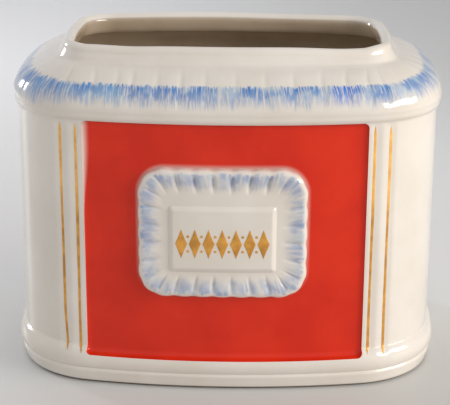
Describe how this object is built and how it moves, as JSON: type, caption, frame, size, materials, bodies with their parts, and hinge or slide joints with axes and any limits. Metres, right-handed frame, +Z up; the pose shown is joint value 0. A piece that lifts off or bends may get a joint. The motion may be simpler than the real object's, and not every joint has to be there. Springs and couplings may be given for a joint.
{
  "type": "biscuit jar",
  "caption": "Rectangular glazed earthenware biscuit jar, open and without its lid: bowed faces, rolled shoulder, moulded base, reeded corners, red panels and a raised crimped label.",
  "frame": {"origin": "middle of the face that the jar stands on", "axes": "+Z up, front with the label towards -Y, +X to the right seen from the front"},
  "size_m": [0.2476, 0.1722, 0.1895],
  "materials": {
    "ivory_glaze": "gloss",
    "red_enamel": "gloss",
    "gilding": "satin",
    "bisque": "matt"
  },
  "bodies": {
    "root": {"foot_ring": "bisque", "jar_floor": "ivory_glaze", "foot_band": "ivory_glaze", "base_roll": "ivory_glaze", "jar_wall": "ivory_glaze", "front_left_reeds": "ivory_glaze", "front_right_reeds": "ivory_glaze", "back_left_reeds": "ivory_glaze", "back_right_reeds": "ivory_glaze", "front_red_panel": "red_enamel", "back_red_panel": "red_enamel", "shoulder_bead": "ivory_glaze", "shoulder_dome": "ivory_glaze", "neck_collar": "ivory_glaze", "rim_lip": "ivory_glaze", "label_border": "ivory_glaze", "label_field": "ivory_glaze", "label_tablet": "ivory_glaze", "label_ornament": "gilding", "front_left_gilt_lines": "gilding", "front_right_gilt_lines": "gilding", "back_left_gilt_lines": "gilding", "back_right_gilt_lines": "gilding"}
  },
  "joints": []
}
